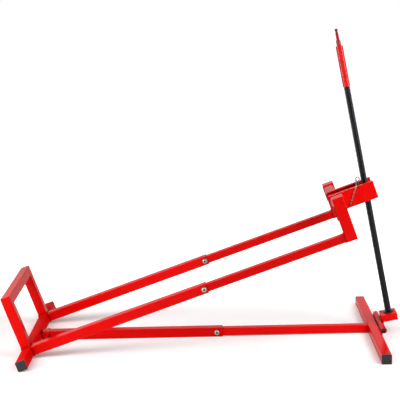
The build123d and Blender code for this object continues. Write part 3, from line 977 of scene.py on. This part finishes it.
class LIFTJACK_OT_paint_frame(Operator):
    """Gives the tubes, hinges and drive sleeve their red powder coat"""

    bl_idname = "liftjack.paint_frame"
    bl_label = "Paint the frame"
    bl_options = {"REGISTER", "UNDO"}

    def execute(self, context):
        finishes = context.scene.lift_jack_finishes
        sizes = context.scene.lift_jack_sizes
        nodes = frame["nodes"]
        red, shaded_red = finishes.red_paint, finishes.shaded_red_paint
        finish_nodes("red_paint", red_powder_coat("red_powder_coat", red, rough=0.17, specular=0.06))
        # The sliding arm tubes and the base's outer tube get the darker copy of the red as painted shade.
        shaded_paint = red_powder_coat("red_powder_coat_painted_shade", shaded_red, rough=0.17, specular=0.06)
        for node in ("arm_inner_left", "arm_inner_right", "base_outer_tube"):
            give_finish(nodes[node], shaded_paint)
        # The turned sleeve shines more than the tubes, and the rear beam is duller.
        sleeve_paint = red_powder_coat("red_powder_coat_glossy", red, rough=0.22, specular=0.5)
        give_finish(nodes["drive_sleeve"], sleeve_paint)
        beam_paint = red_powder_coat("red_powder_coat_matt", red, rough=0.5, specular=0.015)
        give_finish(nodes["rear_cross_beam"], beam_paint)
        shank = nodes["drive_shank"]
        tip = max(vertex.co.dot(rod_up) for vertex in shank.data.vertices)
        give_finish(shank, worn_powder_coat(red, finishes.worn_tip, tip - sizes.worn_length))
        return {"FINISHED"}


class LIFTJACK_OT_plug_beam_ends(Operator):
    """Gives the plugs in the beam ends their moulded plastic"""

    bl_idname = "liftjack.plug_beam_ends"
    bl_label = "Plug the beam ends"
    bl_options = {"REGISTER", "UNDO"}

    def execute(self, context):
        finishes = context.scene.lift_jack_finishes
        finish_nodes("black_plastic", moulded_polypropylene(finishes.plug_plastic))
        return {"FINISHED"}


class LIFTJACK_OT_plate_fasteners(Operator):
    """Gives the bolts, washers, nuts, clip and chain their zinc plate"""

    bl_idname = "liftjack.plate_fasteners"
    bl_label = "Plate the fasteners"
    bl_options = {"REGISTER", "UNDO"}

    def execute(self, context):
        finishes = context.scene.lift_jack_finishes
        finish_nodes("zinc_steel", zinc_plated_steel("zinc_plated_steel", finishes.zinc_plate))
        clip_plate = zinc_plated_steel("zinc_plated_wire", finishes.clip_wire)
        give_finish(frame["nodes"]["retaining_clip"], clip_plate)
        return {"FINISHED"}


class LIFTJACK_OT_finish_nut_and_pins(Operator):
    """Gives the nut, its carriage, the bush, the collar and the front hinge pin their metal"""

    bl_idname = "liftjack.finish_nut_and_pins"
    bl_label = "Finish the nut and pins"
    bl_options = {"REGISTER", "UNDO"}

    def execute(self, context):
        finishes = context.scene.lift_jack_finishes
        finish_nodes("bronze", cast_bronze(finishes.bronze))
        finish_nodes("steel", turned_steel(finishes.bare_steel))
        # The front hinge pin in this slot is blacked, and its dark end also stands in as painted shade for the
        # shaded hollow of the hinge eye.
        finish_nodes("black_steel", black_oxide_steel(finishes.black_oxide))
        return {"FINISHED"}


class LIFTJACK_OT_cut_spindle_thread(Operator):
    """Models the threaded spindle with its plain ends"""

    bl_idname = "liftjack.cut_spindle_thread"
    bl_label = "Cut the spindle thread"
    bl_options = {"REGISTER", "UNDO"}

    def execute(self, context):
        sizes = context.scene.lift_jack_sizes
        lead = sizes.thread_lead
        low, high = span("spindle", ROD)
        radius = high.y
        start = span("thrust_washer", ROD)[1].z + WASHER_GAP
        shoulder_top = start + sizes.shoulder
        plain_bottom = span("drive_sleeve", ROD)[0].z + TURNS_IN_SLEEVE * lead
        crest = radius + CREST_RISE * lead
        run_on = TURNS_IN_ENDS * lead
        thread = thread_length(sizes, crest, shoulder_top - run_on, plain_bottom + run_on)
        foot_end = plain_end(radius, start, shoulder_top, sizes.journal_radius, low.z)
        sleeve_end = plain_end(
            radius, plain_bottom, high.z - SLEEVE_NECK, sizes.journal_radius, high.z
        )
        screw = unite([thread, foot_end, sleeve_end], "threaded_spindle")
        tidy_surface(screw, SCREW_SMOOTH)
        settle(screw, ROD)
        give_finish(screw, bpy.data.materials["black_oxide_steel"])
        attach(screw, "spindle")
        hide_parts("spindle")
        return {"FINISHED"}


class LIFTJACK_OT_lay_weld_beads(Operator):
    """Lays rippled weld beads along the seams of the painted frame"""

    bl_idname = "liftjack.lay_weld_beads"
    bl_label = "Lay the weld beads"
    bl_options = {"REGISTER", "UNDO"}

    def execute(self, context):
        sizes = context.scene.lift_jack_sizes
        ripple = weld_ripple(sizes)
        seams = {"lift_frame": lift_frame_seams(), "base": base_seams(), "spindle_foot": foot_seams()}
        for body, runs in seams.items():
            rows = [weld_row(ripple, sizes, start, end) for start, end in runs]
            beads = unite(rows, f"weld_beads_{body}")
            take(beads)
            bpy.ops.object.shade_smooth_by_angle(angle=BEAD_SMOOTH)
            give_finish(beads, bpy.data.materials["red_powder_coat"])
            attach(beads, body)
        take(ripple)
        bpy.ops.object.delete()
        return {"FINISHED"}


def seen_directly(tree, mirrored):
    """Socket that is 1 in the camera's own view, and a given level in a reflection or through glass."""
    path = add_node(tree, "ShaderNodeLightPath").outputs
    mirror = add_node(
        tree,
        "ShaderNodeMath",
        {0: path["Is Glossy Ray"], 1: path["Is Transmission Ray"]},
        operation="MAXIMUM",
    )
    level = add_node(
        tree,
        "ShaderNodeMath",
        {0: mirror.outputs[0], 1: mirrored, 2: path["Is Camera Ray"]},
        operation="MULTIPLY_ADD",
    )
    return level.outputs[0]


def white_floor(colour):
    """Matt white studio paper."""
    # Nearly even, with faint clouds of tone about 400 mm across. Outside an oval round the jack its own
    # white fills what the lamps leave grey, and inside the oval the jack's soft shadow stays.
    material, tree, place = start_finish("white_studio_paper")
    cloud = add_node(
        tree, "ShaderNodeTexNoise", {"Vector": place, "Scale": per_metre(400), "Detail": 2.0}
    )
    tone = add_node(
        tree,
        "ShaderNodeMix",
        {
            MIX_SHARE: cloud.outputs["Fac"],
            MIX_FIRST: shaded(colour, 0.98),
            MIX_SECOND: shaded(colour, 1.02),
        },
        data_type="RGBA",
    )
    paper = add_node(tree, "ShaderNodeBsdfDiffuse", {"Color": tone.outputs[MIX_RESULT]})
    oval = add_node(
        tree,
        "ShaderNodeVectorMath",
        {0: place, 1: OVAL_SCALE, 2: OVAL_SHIFT},
        operation="MULTIPLY_ADD",
    )
    far = add_node(tree, "ShaderNodeVectorMath", {0: oval.outputs[0]}, operation="LENGTH")
    white = add_node(
        tree,
        "ShaderNodeMapRange",
        {"Value": far.outputs["Value"], "From Min": 0.45, "From Max": 1.3, "To Min": 0.13, "To Max": 1.0},
        interpolation_type="SMOOTHSTEP",
    )
    fill_level = add_node(
        tree, "ShaderNodeMath", {0: seen_directly(tree, 0.3), 1: white.outputs[0]}, operation="MULTIPLY"
    )
    fill = add_node(tree, "ShaderNodeEmission", {"Strength": fill_level.outputs[0]})
    both = add_node(tree, "ShaderNodeAddShader", {0: paper.outputs[0], 1: fill.outputs[0]})
    add_node(tree, "ShaderNodeOutputMaterial", {"Surface": both.outputs[0]})
    return material


def white_room(scene, ambient):
    """World that looks white, lights the jack evenly, and reflects dimly from the camera's side."""
    world = bpy.data.worlds.new("white_room")
    world.use_nodes = True
    tree = world.node_tree
    tree.nodes.clear()
    direction = add_node(tree, "ShaderNodeTexCoord").outputs["Generated"]
    parts = add_node(tree, "ShaderNodeSeparateXYZ", {0: direction}).outputs
    high = add_node(
        tree,
        "ShaderNodeMapRange",
        {"Value": parts["Z"], "From Min": 0.0, "From Max": 0.12, "To Min": 0.0, "To Max": 1.0},
        interpolation_type="SMOOTHSTEP",
    )
    behind = add_node(
        tree,
        "ShaderNodeMapRange",
        {"Value": parts["Y"], "From Min": -0.3, "From Max": 0.5, "To Min": 0.15, "To Max": 0.95},
        interpolation_type="SMOOTHSTEP",
    )
    backdrop = add_node(
        tree, "ShaderNodeMath", {0: high.outputs[0], 1: behind.outputs[0]}, operation="MULTIPLY"
    )
    camera_ray = add_node(tree, "ShaderNodeLightPath").outputs["Is Camera Ray"]
    shown = add_node(
        tree, "ShaderNodeMath", {0: backdrop.outputs[0], 1: camera_ray}, operation="MAXIMUM"
    )
    level = add_node(
        tree,
        "ShaderNodeMapRange",
        {"Value": seen_directly(tree, 1.0), "To Min": ambient, "To Max": shown.outputs[0]},
    )
    white = shaded(linear("ffffff"), 1.0)
    room = add_node(tree, "ShaderNodeBackground", {"Color": white, "Strength": level.outputs[0]})
    add_node(tree, "ShaderNodeOutputWorld", {"Surface": room.outputs[0]})
    scene.world = world


def lay_floor(studio):
    """The plain floor that the jack stands on."""
    object_mode()
    bpy.ops.mesh.primitive_plane_add(size=FLOOR_SIDE, location=(0.0, 0.0, cad_box[0][2]))
    paper = bpy.context.object
    paper.name = "studio_floor"
    give_finish(paper, white_floor(studio.floor_colour))


def hang_lamps(studio):
    """The soft lamps round the jack, none of them seen by the camera."""
    for name, place, target, size, spread, watts, lights_matt in LAMPS:
        aim = (Vector(target) - Vector(place)).to_track_quat("-Z", "Y").to_euler()
        bpy.ops.object.light_add(type="AREA", location=place, rotation=aim)
        lamp = bpy.context.object
        lamp.name = name
        lamp.data.shape = "RECTANGLE"
        lamp.data.size, lamp.data.size_y = size
        lamp.data.spread = radians(spread)
        lamp.data.energy = watts * studio.lamp_level
        lamp.visible_camera = False
        lamp.visible_diffuse = lights_matt


def stand_camera(studio):
    """The camera, where the photograph was taken from."""
    turn = (
        Matrix.Rotation(-studio.camera_yaw, 4, "Z")
        @ Matrix.Rotation(pi / 2 - studio.camera_pitch, 4, "X")
        @ Matrix.Rotation(studio.camera_roll, 4, "Z")
    )
    bpy.ops.object.camera_add(location=studio.camera_place, rotation=turn.to_euler())
    camera = bpy.context.object
    camera.name = "photograph_camera"
    camera.data.sensor_width = SENSOR_WIDTH
    camera.data.lens = studio.camera_lens
    bpy.context.scene.camera = camera


class LIFTJACK_OT_set_studio(Operator):
    """Sets the white floor, the soft lamps and the camera"""

    bl_idname = "liftjack.set_studio"
    bl_label = "Set the studio"
    bl_options = {"REGISTER", "UNDO"}

    def execute(self, context):
        studio = context.scene.lift_jack_studio
        lay_floor(studio)
        white_room(context.scene, studio.ambient)
        hang_lamps(studio)
        stand_camera(studio)
        context.scene.view_settings.view_transform = "Standard"
        return {"FINISHED"}


class LIFTJACK_PT_sidebar(Panel):
    """Lift jack tools in the 3D view's sidebar"""

    bl_idname = "LIFTJACK_PT_sidebar"
    bl_label = "Lift jack"
    bl_space_type = "VIEW_3D"
    bl_region_type = "UI"
    bl_category = "Lift jack"

    def draw(self, context):
        scene = context.scene
        for settings in (scene.lift_jack_finishes, scene.lift_jack_sizes, scene.lift_jack_studio):
            box = self.layout.box()
            for name in settings.__annotations__:
                box.prop(settings, name)
        for operator in OPERATORS:
            self.layout.operator(operator.bl_idname)


OPERATORS = (
    LIFTJACK_OT_paint_frame,
    LIFTJACK_OT_plug_beam_ends,
    LIFTJACK_OT_plate_fasteners,
    LIFTJACK_OT_finish_nut_and_pins,
    LIFTJACK_OT_cut_spindle_thread,
    LIFTJACK_OT_lay_weld_beads,
    LIFTJACK_OT_set_studio,
)
CLASSES = (LiftJackFinishes, LiftJackSizes, LiftJackStudio, *OPERATORS, LIFTJACK_PT_sidebar)


def register():
    """Registers the classes and their settings on the scene."""
    for kind in CLASSES:
        bpy.utils.register_class(kind)
    bpy.types.Scene.lift_jack_finishes = PointerProperty(type=LiftJackFinishes)
    bpy.types.Scene.lift_jack_sizes = PointerProperty(type=LiftJackSizes)
    bpy.types.Scene.lift_jack_studio = PointerProperty(type=LiftJackStudio)


def unregister():
    """Removes the settings and the classes again."""
    del bpy.types.Scene.lift_jack_studio
    del bpy.types.Scene.lift_jack_sizes
    del bpy.types.Scene.lift_jack_finishes
    for kind in reversed(CLASSES):
        bpy.utils.unregister_class(kind)


def main():
    """Dresses the jack."""
    register()
    bpy.ops.liftjack.paint_frame()
    bpy.ops.liftjack.plug_beam_ends()
    bpy.ops.liftjack.plate_fasteners()
    bpy.ops.liftjack.finish_nut_and_pins()
    bpy.ops.liftjack.cut_spindle_thread()
    bpy.ops.liftjack.lay_weld_beads()
    bpy.ops.liftjack.set_studio()


if __name__ == "__main__":
    main()
